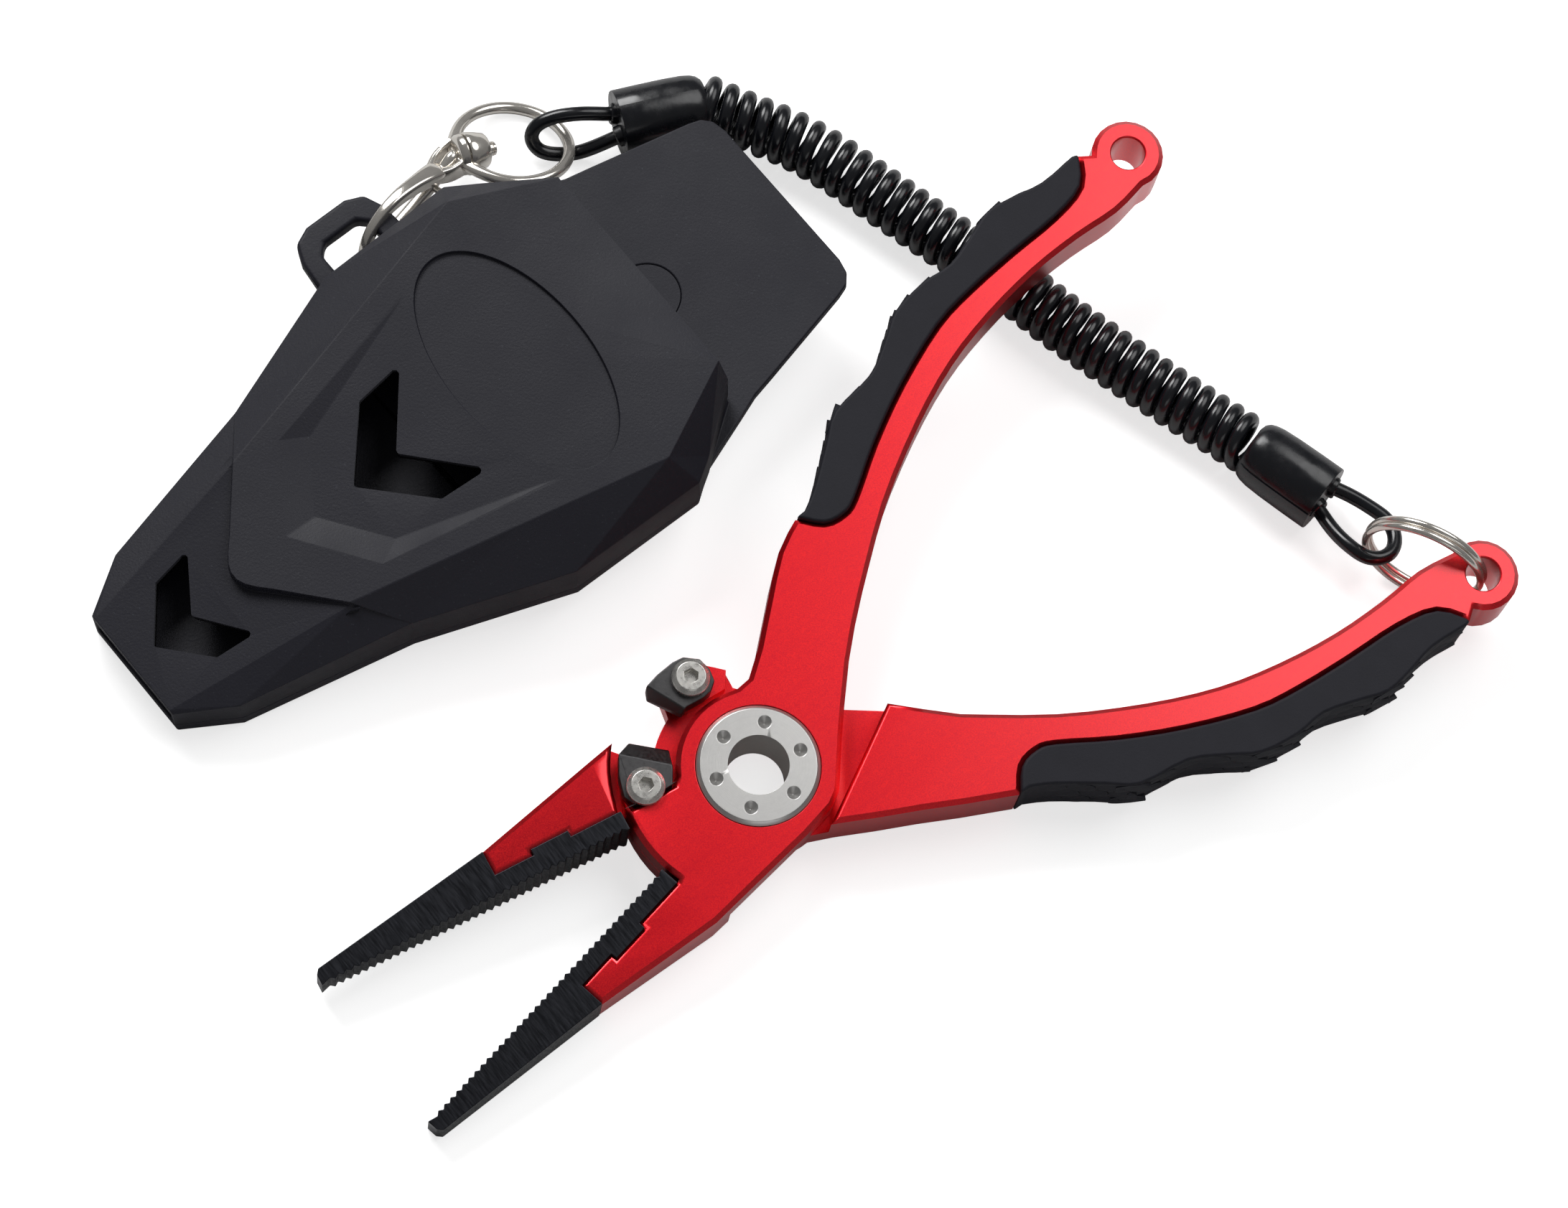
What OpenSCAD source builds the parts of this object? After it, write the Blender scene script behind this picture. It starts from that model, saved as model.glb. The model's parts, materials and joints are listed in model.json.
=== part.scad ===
// Fishing pliers with a coiled lanyard, a swivel clasp and a belt sheath.
// Origin: centre of the pivot bore. The table that everything lies on is pivot_height below it.

/* [Pliers] */
// Height of the pivot centre above the table
pivot_height = 7.46; // [7.4:0.01:7.6]
// Turn of each lever from closed to open
open_half = 10.1; // [9:0.1:10.5]
// Thickness of a lever
lever_t = 9.6; // [9:0.1:10]
// Thickness of the jaws at their tips
tip_t = 5; // [4:0.1:5]
// Distance from the pivot to the jaw tips
jaw_reach = 72.3; // [70:0.1:74]
// Diameter of the lanyard holes
lanyard_hole_d = 5.3; // [4.8:0.1:5.4]
// Diameter of the bore through the pivot bolt
pivot_bore_d = 9.2; // [8:0.1:9.6]
// Spacing of the jaw teeth
tooth_pitch = 1.3; // [1:0.1:2]
// Depth of the jaw teeth
tooth_depth = 0.5; // [0.3:0.1:0.6]
// How far the grips stand proud of the lever faces
grip_proud = 0.5; // [0.3:0.1:0.8]

/* [Lanyard] */
// Outer diameter of the coiled cord
coil_d = 9.6; // [9:0.1:9.8]
// Diameter of the cord itself
cord_d = 2.3; // [2.2:0.1:2.6]
// Outer diameter of the ferrules
ferrule_d = 11.2; // [10.8:0.1:11.4]
// Outer diameter of the split ring
split_ring_d = 20; // [19:0.1:20.4]
// Diameter of one wire of the split ring
split_wire_d = 1.5; // [1.2:0.1:1.5]

/* [Clasp] */
// Outer diameter of the swivel ring
swivel_ring_d = 17.7; // [17:0.1:18]
// Diameter of the swivel ring's wire
swivel_wire_d = 1.7; // [1.5:0.1:1.9]
// Diameter of the claw at its root
claw_d = 3; // [2.6:0.1:3]

/* [Sheath] */
// Wall thickness of the front shell
sheath_wall = 2; // [1.6:0.1:2.2]
// Thickness of the back plate
back_t = 2; // [1.6:0.1:2.2]
// Height of the parting line above the back
seam_h = 2.6; // [2.4:0.1:3]
// Radius of the rivet head in the back panel
rivet_r = 5.2; // [5:0.1:6]

/* [Hidden] */
$fn = 48;
gap = 0.05;                 // half the running gap between the hub plates
top = lever_t / 2;
far = 200;                  // longer than any part, for cutting blocks

// ---- placing ----
// The pliers lie tilted: one jaw tip, the coil and the split ring hold them up.
module pliers() rotate([4.1, -3.15, 49.8]) children();
module lever_a_place() rotate(open_half) children();
module lever_b_place() rotate(-open_half) mirror([0, 1, 0]) children();
module on_table() translate([0, 0, -pivot_height]) children();

// ---- curves ----
function arc(r, from, to, n, c = [0, 0]) =
    [for (i = [0:n]) let (a = from + (to - from) * i / n) c + r * [cos(a), sin(a)]];
function at(p, i) = p[max(0, min(len(p) - 1, i))];
function spline_point(a, b, c, d, t) =
    (2 * b + t * (c - a) + t * t * (2 * a - 5 * b + 4 * c - d)
     + t * t * t * (3 * b - a - 3 * c + d)) / 2;
// A smooth curve through the points of p, n steps to a span
function smooth(p, n) = concat(
    [for (i = [0:len(p) - 2], k = [0:n - 1])
        spline_point(at(p, i - 1), p[i], p[i + 1], at(p, i + 2), k / n)],
    [p[len(p) - 1]]);
function unit(v) = v / norm(v);
function tangent(p, i) = unit(at(p, i + 1) - at(p, i - 1));
// Rings of points round the path p; r(i) runs evenly from r0 to r1
function rings(p, r0, r1, sides, up) = [for (i = [0:len(p) - 1])
    let (t = tangent(p, i), s = unit(cross(up, t)), u = cross(t, s),
         r = r0 + (r1 - r0) * i / (len(p) - 1))
    for (k = [0:sides - 1]) p[i] + r * (cos(360 * k / sides) * s + sin(360 * k / sides) * u)];
module tube(p, r0, r1, sides = 8, up = [0, 0, 1]) {
    n = len(p);
    polyhedron(rings(p, r0, r1, sides, up), concat(
        [[for (k = [0:sides - 1]) k]],
        [for (i = [0:n - 2], k = [0:sides - 1]) let (a = i * sides, m = (k + 1) % sides)
            [a + k, a + sides + k, a + sides + m, a + m]],
        [[for (k = [sides - 1:-1:0]) (n - 1) * sides + k]]), convexity = 6);
}

// ---- lever outlines, in the closed lever's own frame: X along the handles, +Y its handle side ----
hub_r = 12.3;
plate_r = 21;               // reach of the hub plate towards the jaws
block_r = 22;               // where the other lever's full-thickness jaw block begins
shoulder = 13.5;            // distance of the full-thickness handle from the pivot
shoulder_angle = 52.4;
hole_at = [113, 23.4];
end_r = 5.6;
inner_edge = smooth([[31, 6.5], [44, 13.1], [57, 17.8], [68, 20.5], [78, 21.4],
                     [88, 21.2], [97, 20], [104.5, 18.4], [110.7, 18.3]], 3);
grip_edge = smooth([[107.4, 28.9], [103.6, 25.3], [97, 24.8], [88, 25.8], [79, 26.5], [71, 26.4],
                    [60, 24.1], [50, 20.9], [41.4, 17.3], [38.3, 16.8], [35.2, 18], [33, 21.6]], 3);
neck_a = smooth([[32.8, 21.6], [27.2, 20], [19.8, 15.8], [13.7, 12.2]], 2);
neck_b = [[32.8, 21.5], [25, 19.1], [18.8, 17], [12.6, 15.1], [6.6, 13.1], [2.6, 12]];
hub_side = [[17.2, -3.8], [11, -7.6], [6.2, -10.8]];
handle_end = arc(end_r, -112, 135, 16, hole_at);
jaw_step_x = -42.4;
insert_x = -21.5;
insert_y = -3.1;
tongue_y = -4.1;
insert_back = [[jaw_step_x, insert_y], [-36, insert_y], [-36, tongue_y], [-29.8, tongue_y],
               [-29.8, insert_y], [insert_x, insert_y]];
jaw_back = -7.1;            // outer edge of the jaw where the insert begins

module handle_2d(hub_edge, neck) polygon(concat(
    hub_edge, inner_edge, handle_end, grip_edge, neck, [[0, 0]]));
// Handle, hub plate and jaw block of lever A in one outline
module outline_a_2d() {
    handle_2d([[6.9, -10.2], [10.3, -7.4], [15.9, -3.2], [21.6, 0.9], [26.4, 3.9]],
              concat(neck_a, [[9.3, 10.1]]));
    polygon(concat(
        [[9.3, 10.1], [15.7, -3.2], [6.9, -10.2], [5.3, -11.4], [3, -12.2], [-2.8, -hub_r],
         [-21.7, -11.4], [jaw_step_x, jaw_back]], insert_back,
        arc(plate_r, 187.8, 146, 8), [[-17.3, 9.2], [-10.7, 7.1]],
        arc(hub_r, 139.8, 68, 10), [[7, 10.3]]));
}
module outline_b_2d() {
    handle_2d([[6.2, -9.7], [15.7, -3.4], [22.2, 0.1], [26.4, 3.3]], neck_b);
    circle(hub_r, $fn = 96);
    polygon(concat(
        [[9.3, 10.1], [16.8, -3.4], [6.2, -10.8], [3.3, -13.5], [3.3, -16], [1.9, -17.2],
         [-0.6, -19.2], [-4, -19.8], [-7, -18.6], [-7.6, -13.8]],
        arc(15.6, -119.6, -138, 4), [[-16.7, -12], [-17.6, -13.1], [jaw_step_x, jaw_back]],
        insert_back, arc(plate_r, 187.8, 146, 8), [[-12, 7]]));
}
module pad_b_2d() polygon([[1.8, -13.4], [3.3, -16], [1.9, -17.2], [-0.6, -19.2], [-4, -19.8],
                           [-7, -18.6], [-5.6, -13.6], [-4.8, -12.9]]);
// The part of a lever's outline that the other lever's plate sweeps
module window_2d() intersection() {
    circle(block_r, $fn = 96);
    rotate(shoulder_angle) translate([-60, -60]) square([60 + shoulder, 120]);
}
module jaw_taper() rotate([90, 0, 0]) linear_extrude(far, center = true)
    polygon([[-22, -top], [120, -top], [120, top], [-22, top],
             [-jaw_reach, tip_t / 2], [-jaw_reach, -tip_t / 2]]);
module tongue_2d() polygon(concat(
    smooth([[36.5, 19.2], [45, 23], [52, 25.4], [62, 27], [72, 29.2], [84, 29], [95, 27.8],
            [103, 26.9]], 2),
    [[103, 25], [88, 24], [70, 24], [50, 19], [40, 15]]));

spring_r = 7.7;             // middle radius of the return spring
flange_r = 9.33;
bolt_r = 6.5;
washer_in = 9.6;
washer_out = 11.6;
screw_a_at = [-13.9, 10.1];
screw_b_at = [-2.7, -16.5];
cutter_floor = 1.8;
screw_r = 1.5;

// Bore, flange seat, spring pocket and washer seat of one hub plate, plate above z = 0
module hub_cuts() {
    translate([0, 0, -1]) cylinder(r = bolt_r + 0.06, h = lever_t);
    translate([0, 0, 3.35]) cylinder(r = flange_r + 0.1, h = 5);
    translate([0, 0, -1]) cylinder(r = 8.9, h = 2.3);
    difference() {
        translate([0, 0, -1]) cylinder(r = washer_out + 0.1, h = 1.22);
        translate([0, 0, -2]) cylinder(r = washer_in - 0.1, h = 4);
    }
}

module lever_a() color("crimson") pliers() lever_a_place() difference() {
    intersection() {
        union() {
            translate([0, 0, gap]) linear_extrude(top - gap) outline_a_2d();
            translate([0, 0, -top]) linear_extrude(top + gap + 0.01) difference() {
                outline_a_2d();
                window_2d();
            }
            linear_extrude(5.2, center = true) tongue_2d();
            translate([0, 0, gap]) linear_extrude(cutter_floor - gap)
                polygon([[-9.2, 8.2], [-9.4, 10.2], [-12.9, 16], [-15.3, 14], [-17.4, 11.2],
                         [-17.3, 9], [-12.7, 6]]);
        }
        jaw_taper();
    }
    hub_cuts();
    translate([0, 0, -top - 1]) translate(hole_at) cylinder(d = lanyard_hole_d, h = 12);
    translate([0, 0, -1]) translate(screw_a_at) cylinder(r = screw_r + 0.05, h = 9);
    // arc slot for the moving leg of the return spring
    rotate(-16) rotate_extrude(angle = 30, $fn = 72)
        translate([spring_r - 0.65, 0]) square([1.3, 2.6]);
}

module lever_b() color("crimson") pliers() lever_b_place() difference() {
    intersection() {
        union() {
            translate([0, 0, -top]) linear_extrude(top - gap) outline_b_2d();
            translate([0, 0, -gap - 0.01]) linear_extrude(top + gap + 0.01) difference() {
                intersection() {
                    outline_b_2d();
                    union() {
                        translate([-90, -14]) square([90, 20]);
                        translate([0, -4]) square([130, 60]);
                    }
                }
                window_2d();
            }
            linear_extrude(5.2, center = true) tongue_2d();
            translate([0, 0, -1]) linear_extrude(1 + cutter_floor) pad_b_2d();
        }
        jaw_taper();
    }
    mirror([0, 0, 1]) hub_cuts();
    translate([0, 0, -top - 1]) translate(hole_at) cylinder(d = lanyard_hole_d, h = 12);
    translate([0, 0, -3.4]) translate(screw_b_at) cylinder(r = screw_r + 0.05, h = 9);
    // hole for the fixed leg of the return spring
    translate([0, 0, -2.6]) rotate(-90) translate([spring_r, 0, 0]) cylinder(r = 0.6, h = 3);
}

// ---- grips ----
grip_outer = smooth([[34.6, 21.4], [38.4, 22.8], [44.8, 26.1], [49.8, 28.6], [57.9, 28.6],
                     [64, 30.8], [68.5, 32.6], [74.8, 32.6], [80, 31.5], [86, 32.3], [90.5, 33],
                     [95, 31.8], [100, 30], [106.4, 29.4]], 3);
module grip() difference() {
    translate([0, 0, -top - grip_proud]) linear_extrude(lever_t + 2 * grip_proud)
        polygon(concat(grip_outer, [for (i = [0:len(grip_edge) - 1]) grip_edge[i]]));
    linear_extrude(5.2, center = true) tongue_2d();
    translate([0, 0, -top]) linear_extrude(lever_t) handle_2d([[26.4, 3.9]], neck_a);
}
module grip_a() color("dimgray") pliers() lever_a_place() grip();
module grip_b() color("dimgray") pliers() lever_b_place() grip();

// ---- jaw inserts ----
teeth = floor((jaw_reach + insert_x - 1) / tooth_pitch);
module insert() intersection() {
    translate([0, 0, -top]) linear_extrude(lever_t) polygon(concat(
        [[-jaw_reach + 0.6, -2.6], [jaw_step_x, jaw_back]], insert_back,
        [[insert_x, -gap]],
        [for (i = [0:teeth - 1], k = [0:1])
            [insert_x - 0.5 - (i + k / 2) * tooth_pitch, -gap - k * tooth_depth]],
        [[-jaw_reach, -gap], [-jaw_reach, -1.8]]));
    jaw_taper();
}
module jaw_insert_a() color("lightgray") pliers() lever_a_place() insert();
module jaw_insert_b() color("lightgray") pliers() lever_b_place() insert();

// ---- pivot ----
module pivot_bolt() color("silver") pliers() difference() {
    union() {
        translate([0, 0, -top]) cylinder(r = bolt_r, h = lever_t);
        translate([0, 0, 3.4]) cylinder(r = flange_r, h = 1.4);
        translate([0, 0, 4.8]) cylinder(r1 = flange_r, r2 = flange_r - 0.6, h = 0.5);
    }
    translate([0, 0, -far / 2]) cylinder(d = pivot_bore_d, h = far);
    for (a = [44, 103, 162, 222, 283, 343]) rotate(a)
        translate([6.7, 0, 4.3]) cylinder(r1 = 0.05, r2 = 1.05, h = 1.01, $fn = 24);
}
module pivot_nut() color("silver") pliers() difference() {
    translate([0, 0, -5.2]) cylinder(r = flange_r, h = 1.8);
    translate([0, 0, -6]) cylinder(r = bolt_r + 0.03, h = 4);
}
module thrust_washer() color("gold") pliers() difference() {
    translate([0, 0, -0.15]) cylinder(r = washer_out, h = 0.3);
    translate([0, 0, -1]) cylinder(r = washer_in, h = 2);
}
module return_spring() color("gray") pliers() {
    rotate_extrude() translate([spring_r - 0.8, -1]) square([1.6, 2]);
    rotate(-open_half) rotate(90) translate([spring_r, 0, -2.4]) cylinder(r = 0.5, h = 2, $fn = 24);
    rotate(-open_half + 9) translate([spring_r, 0, 0.5]) cylinder(r = 0.5, h = 1.9, $fn = 24);
}

// ---- cutters ----
// A plate with a bevel that falls from line p-q to the cutting edge
module bevel_cut(p, q, w) {
    d = q - p;
    translate([p[0], p[1], top]) rotate(atan2(d[1], d[0])) rotate([w, 0, 0])
        translate([-9, -far / 2, 0]) cube([26, far, 6]);
}
module cutter_screw_at(p, foot) {
    translate([0, 0, foot]) translate(p) cylinder(r = screw_r, h = top - foot);
    translate(p) difference() {
        union() {
            translate([0, 0, top]) cylinder(r = 2.9, h = 0.9);
            translate([0, 0, top + 0.9]) cylinder(r1 = 2.9, r2 = 2.2, h = 0.7);
        }
        translate([0, 0, top + 0.3]) cylinder(r = 1.22, h = 2, $fn = 6);
    }
}
module cutter_a() color("gray") pliers() lever_a_place() difference() {
    translate([0, 0, cutter_floor]) linear_extrude(top - cutter_floor)
        polygon([[-9.9, 16.9], [-12.9, 16.4], [-15.3, 14.2], [-17.2, 11.4], [-16.9, 9.4],
                 [-10.8, 7.4], [-9, 9], [-6.6, 11.7]]);
    translate([0, 0, -1]) translate(screw_a_at) cylinder(r = screw_r + 0.1, h = 9);
    bevel_cut([-12.7, 16.3], [-8.8, 9.8], -45);
}
module cutter_b() color("gray") pliers() lever_b_place() difference() {
    translate([0, 0, cutter_floor]) linear_extrude(top - cutter_floor)
        polygon([[-9.7, -17], [-9.2, -18.4], [-6.9, -19.3], [-3.9, -20], [-2.1, -20], [0, -18.6],
                 [0.6, -16.6], [0.4, -14.6], [-0.9, -13.4], [-2.3, -13], [-5.2, -12.9],
                 [-6.3, -12.4]]);
    translate([0, 0, -1]) translate(screw_b_at) cylinder(r = screw_r + 0.1, h = 9);
    bevel_cut([-9, -18.4], [-5.2, -12], -60);
}
module cutter_screw_a() color("dimgray") pliers() lever_a_place() cutter_screw_at(screw_a_at, 0.3);
module cutter_screw_b() color("dimgray") pliers() lever_b_place() cutter_screw_at(screw_b_at, -3.2);

// ---- lanyard ----
split_ring_at = [93.2, 56.4, split_ring_d / 2 + 0.1];
split_ring_turn = -15;    // heading of the ring's plane
module split_ring() color("silver") on_table()
    translate(split_ring_at) rotate([90, 0, split_ring_turn]) {
        r = split_wire_d / 2;
        for (z = [-r, r]) rotate_extrude($fn = 72)
            translate([split_ring_d / 2 - r, z]) circle(r + 0.02, $fn = 24);
    }

coil_z = coil_d / 2;
coil_route = smooth([[-30, 110, coil_z + 0.9], [-22, 108.6, coil_z + 0.4], [-15, 107.4, coil_z],
    [-8, 104.9, coil_z], [0, 101.2, coil_z], [10, 96.6, coil_z], [22, 91.2, coil_z],
    [32, 85.9, coil_z], [42, 81.2, coil_z], [52, 76.8, coil_z], [60, 73.5, coil_z],
    [64.6, 71.2, coil_z + 0.8]], 3);
module coil_cord() color("black") on_table() tube(coil_route, coil_d / 2, coil_d / 2, 12);

// A stepped sleeve from p to q; the hole for the coil is left out, the cord ends face to face
module ferrule(p, q) translate(p) {
    d = q - p;
    rotate([0, 90 - asin(d[2] / norm(d)), atan2(d[1], d[0])]) {
        cylinder(d1 = ferrule_d - 0.8, d2 = ferrule_d, h = 0.4);
        translate([0, 0, 0.4]) cylinder(d = ferrule_d, h = norm(d) - 2.4);
        translate([0, 0, norm(d) - 2]) cylinder(d1 = ferrule_d, d2 = ferrule_d - 1.2, h = 2);
    }
}
ferrule_z = ferrule_d / 2;
right_ferrule = [[77, 65.2, ferrule_z], [64.6, 71.2, ferrule_z]];
left_ferrule = [[-42.6, 103.3, ferrule_z], [-30, 110, ferrule_z]];
module ferrule_right() color("black") on_table() ferrule(right_ferrule[0], right_ferrule[1]);
module ferrule_left() color("black") on_table() ferrule(left_ferrule[0], left_ferrule[1]);

right_loop = [[77.2, 67.6, 5.6], [81, 66.6, 5.6], [84.4, 65.2, 5.8], [87.2, 63.6, 6],
              [88.7, 61, 6.4], [88.6, 58.2, 7], [86.9, 56.3, 7.6], [84.3, 55.9, 8], [81, 57.9, 7.4],
              [78.6, 60.5, 6.2], [76.2, 63.4, 5.6]];
left_loop = [[-43.3, 105, 5.6], [-48.4, 103.4, 6.4], [-52.6, 101.8, 6.2], [-55, 100.2, 5.2],
             [-55.4, 98.6, 3.6], [-53.6, 97.6, 2.1], [-50.4, 98.2, 1.35], [-47, 99.3, 2],
             [-42.2, 101.5, 4.8]];
module cord_loop_right() color("black") on_table() tube(smooth(right_loop, 3), cord_d / 2, cord_d / 2);
module cord_loop_left() color("black") on_table() tube(smooth(left_loop, 3), cord_d / 2, cord_d / 2);

// ---- swivel and clasp: their frame starts at the ring's centre, X along the swivel post ----
swivel_at = [-58, 96.4, 4.6];
module clasp_place() on_table() translate(swivel_at) rotate([-23, 0, 0]) rotate(215) children();
ring_r = (swivel_ring_d - swivel_wire_d) / 2;
post_r = 1.1;
module along_post(x) translate([x, 0, 0]) rotate([0, 90, 0]) children();
module swivel_ring() color("silver") clasp_place() difference() {
    union() {
        rotate_extrude($fn = 72) translate([ring_r, 0]) circle(swivel_wire_d / 2, $fn = 24);
        along_post(4.4) cylinder(r = 2.5, h = 4.4);
    }
    along_post(0) cylinder(r = post_r + 0.06, h = 12);
}
module swivel_post() color("silver") clasp_place() {
    along_post(3.2) cylinder(r = 1.9, h = 1.1);
    along_post(3.3) cylinder(r = post_r, h = 9);
    along_post(12) cylinder(r = 1.7, h = 0.8);
}
// The hook lies in the X-Z plane of a frame turned off the post
module hook_place() clasp_place() translate([11.1, 0.5, 0]) rotate(24) children();
function hook_point(q) = [q[0], 0.2, q[1]];
claw_path = [for (q = smooth([[6.4, 0.3], [9.2, 0.9], [12.4, 0.9], [15.8, -0.3], [18.4, -3],
    [19.1, -6.5], [18.6, -10.4]], 3)) hook_point(q)];
gate_pivot = [3.9, 0, -3.2];
gate_dip = 28;              // fall of the gate below the post's line
module cheek(y) translate([0, y, 0]) rotate([90, 0, 0]) linear_extrude(0.8, center = true)
    polygon([[-0.8, -3], [1.4, -4.8], [4.8, -4.8], [7.2, -1.4], [8, 1.6], [5.6, 2.1], [-0.8, 2.1]]);
module clasp_body() color("silver") difference() {
    union() {
        clasp_place() along_post(9) cylinder(r1 = 2.6, r2 = 3.1, h = 0.6);
        clasp_place() along_post(9.6) cylinder(r = 3.1, h = 1.6);
        hook_place() {
            translate([-0.8, -2.9, -3]) cube([1.6, 5.8, 5]);
            cheek(2.5);
            cheek(-2.5);
            translate([5.6, -2.9, -1.2]) cube([2.2, 5.8, 2.9]);
            tube(claw_path, claw_d / 2, 0.9, 8, [0, 1, 0]);
        }
    }
    clasp_place() along_post(0) cylinder(r = post_r + 0.05, h = 14);
    clasp_place() along_post(11.95) cylinder(r = 1.8, h = 2);
    hook_place() translate(gate_pivot) rotate([90, 0, 0]) cylinder(r = 0.6, h = 12, center = true);
}
module gate_place() hook_place() translate(gate_pivot) children();
module clasp_gate() color("silver") gate_place() difference() {
    union() {
        rotate([90, 0, 0]) cylinder(r = 1.3, h = 3.6, center = true);
        rotate([0, gate_dip, 0]) translate([0, -1.1, -0.9]) cube([14.5, 2.2, 1.8]);
        rotate([90, 0, 0]) linear_extrude(2.6, center = true)
            polygon([[-1, 0], [0.3, 0.4], [0.9, 5.4], [0, 6.2], [-0.9, 5.2]]);
    }
    rotate([90, 0, 0]) cylinder(r = 0.63, h = 8, center = true);
}
module gate_pin() color("silver") gate_place()
    rotate([90, 0, 0]) cylinder(r = 0.58, h = 6, center = true, $fn = 24);
module gate_spring() color("gray") gate_place() translate([1.05, -0.6, 2.7]) cube([0.6, 1.2, 1.8]);

// ---- sheath: X from tip to mouth, Z up from its back ----
sheath_turn = 50.55;
sheath_rise = 5.3;
sheath_len = 97;
module sheath_place() on_table() translate([-94, -3.2, 0])
    rotate([0, 0, sheath_turn]) rotate([0, -sheath_rise, 0]) children();
stations = [0, 8.5, 30.5, 36, 60.3, 81.3, 83.5, sheath_len];
rim_w = [[0, 10.1], [8.5, 15.5], [36, 21.7], [60.3, 30.8], [83.5, 31.2], [sheath_len, 21.6]];
side_h = [[0, 7.4], [36, 9.5], [60.3, 9.5], [sheath_len, 9.2]];
crest_w = [[0, 9.4], [30.5, 14.4], [81.3, 26.9], [sheath_len, 19.4]];
crest_h = [[0, 8], [30.5, 12.8], [81.3, 15], [sheath_len, 15]];
// Section at x, drawn in by wall w, from height z0; end_in moves the end stations
function section(x, w, z0) = let (r = lookup(x, rim_w) - w, c = lookup(x, crest_w) - w,
        s = lookup(x, side_h) - w / 2, h = lookup(x, crest_h) - w)
    [[r, z0], [r, s], [c, h], [-c, h], [-r, s], [-r, z0]];
module loft(xs, w, z0, overrun = 0) {
    n = len(xs);
    polyhedron([for (i = [0:n - 1]) let (x = xs[i] + (i == 0 ? -overrun : i == n - 1 ? overrun : 0))
            for (p = section(xs[i], w, z0)) [x, p[0], p[1]]],
        concat([[0, 1, 2, 3, 4, 5]],
            [for (i = [0:n - 2], k = [0:5]) let (a = 6 * i, m = (k + 1) % 6)
                each [[a + k, a + 6 + k, a + m], [a + m, a + 6 + k, a + 6 + m]]],
            [[for (k = [5:-1:0]) 6 * (n - 1) + k]]), convexity = 8);
}
// A chevron that points to the mouth: outer tips, inner corner and their counterparts
module chevron(tip, inner, low, outer) translate([0, 0, -1]) linear_extrude(30)
    polygon([tip, [inner, 0], [tip[0], -tip[1]], [low[0], -low[1]], [outer, 0], low]);
module sheath_front() color("darkslategray") sheath_place() difference() {
    loft(stations, 0, seam_h);
    difference() {
        loft(stations, sheath_wall, seam_h - 1, 0.5);
        translate([-1, -40, 0]) cube([3, 31, 30]);
        translate([-1, 9, 0]) cube([3, 31, 30]);
    }
    chevron([59.5, 10.9], 50.3, [51.1, 10.1], 42.1);
    chevron([17.1, 8.5], 11.3, [10.3, 7.6], 4.1);
}
panel_end = 125.4;
d_ring = [60.2, 76, 41.8];      // ends along X and reach of the D-loop
d_hole = [63.5, 72.6, 37.9];
d_ring_t = 3;
rim_line = [[0, 10.1], [8.5, 15.5], [36, 21.7], [60.3, 30.8], [83.5, 31.2]];
panel_line = [[88, 28], [97.2, 24.7], [101, 23.3], [105.1, 22.4], [121.6, 18.6], [123.6, 17.9],
              [124.9, 16.4], [panel_end, 14]];
function two_sided(p) = concat(p, [for (i = [len(p) - 1:-1:0]) [p[i][0], -p[i][1]]]);
module back_outline() polygon(two_sided(concat(rim_line, panel_line)));
module rim_outline() polygon(two_sided(concat(rim_line, [[sheath_len, 21.6]])));
clip_pivot = [98.4, 0];
screw_spots = [[14, 13], [14, -13], [56, 25.5], [56, -25.5], [82, 28], [82, -28]];
module sheath_back() color("darkslategray") sheath_place() difference() {
    union() {
        linear_extrude(back_t) back_outline();
        linear_extrude(seam_h) difference() {
            rim_outline();
            polygon(two_sided([[-1, 8.8], [8.5, 13], [36, 19.2], [60.3, 28.3], [83.5, 28.7],
                               [sheath_len + 1, 19.2]]));
        }
        linear_extrude(seam_h - 0.1) translate([d_ring[0] - 1, 30])
            square([d_ring[1] - d_ring[0] + 2, 2]);
        linear_extrude(d_ring_t) polygon([[d_ring[0] - 0.6, 31.6], [d_ring[0], 37.4],
            [d_ring[0] + 1.3, 40.5], [d_ring[0] + 4.2, d_ring[2]], [d_ring[1] - 4.2, d_ring[2]],
            [d_ring[1] - 1.3, 40.5], [d_ring[1], 37.4], [d_ring[1] + 0.6, 31.6]]);
    }
    translate([0, 0, -1]) linear_extrude(9) polygon([[d_hole[0], 31.4], [d_hole[0], d_hole[2] - 1.5],
        [d_hole[0] + 1.5, d_hole[2]], [d_hole[1] - 1.5, d_hole[2]], [d_hole[1], d_hole[2] - 1.5],
        [d_hole[1], 31.4]]);
    translate([0, 0, -1]) translate(clip_pivot) cylinder(r = 2.56, h = 5);
    translate([0, 0, 1]) translate(clip_pivot) cylinder(r = rivet_r + 0.1, h = 5);
    for (p = screw_spots) translate([0, 0, -1]) translate(p) cylinder(r = 1.05, h = 5);
    for (p = screw_spots) translate([0, 0, -1]) translate(p) cylinder(r = 1.85, h = 2);
}
module shell_screws() color("gray") sheath_place() for (p = screw_spots) translate(p) {
    translate([0, 0, 0.05]) cylinder(r = 1.8, h = 0.9);
    cylinder(r = 1, h = seam_h);
}
module clip_rivet() color("darkslategray") sheath_place() translate(clip_pivot) {
    translate([0, 0, 1]) cylinder(r = rivet_r, h = 0.95);
    translate([0, 0, -4.3]) cylinder(r = 2.5, h = 5.5);
    translate([0, 0, -4.8]) cylinder(r = 4.5, h = 0.5);
}
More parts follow.
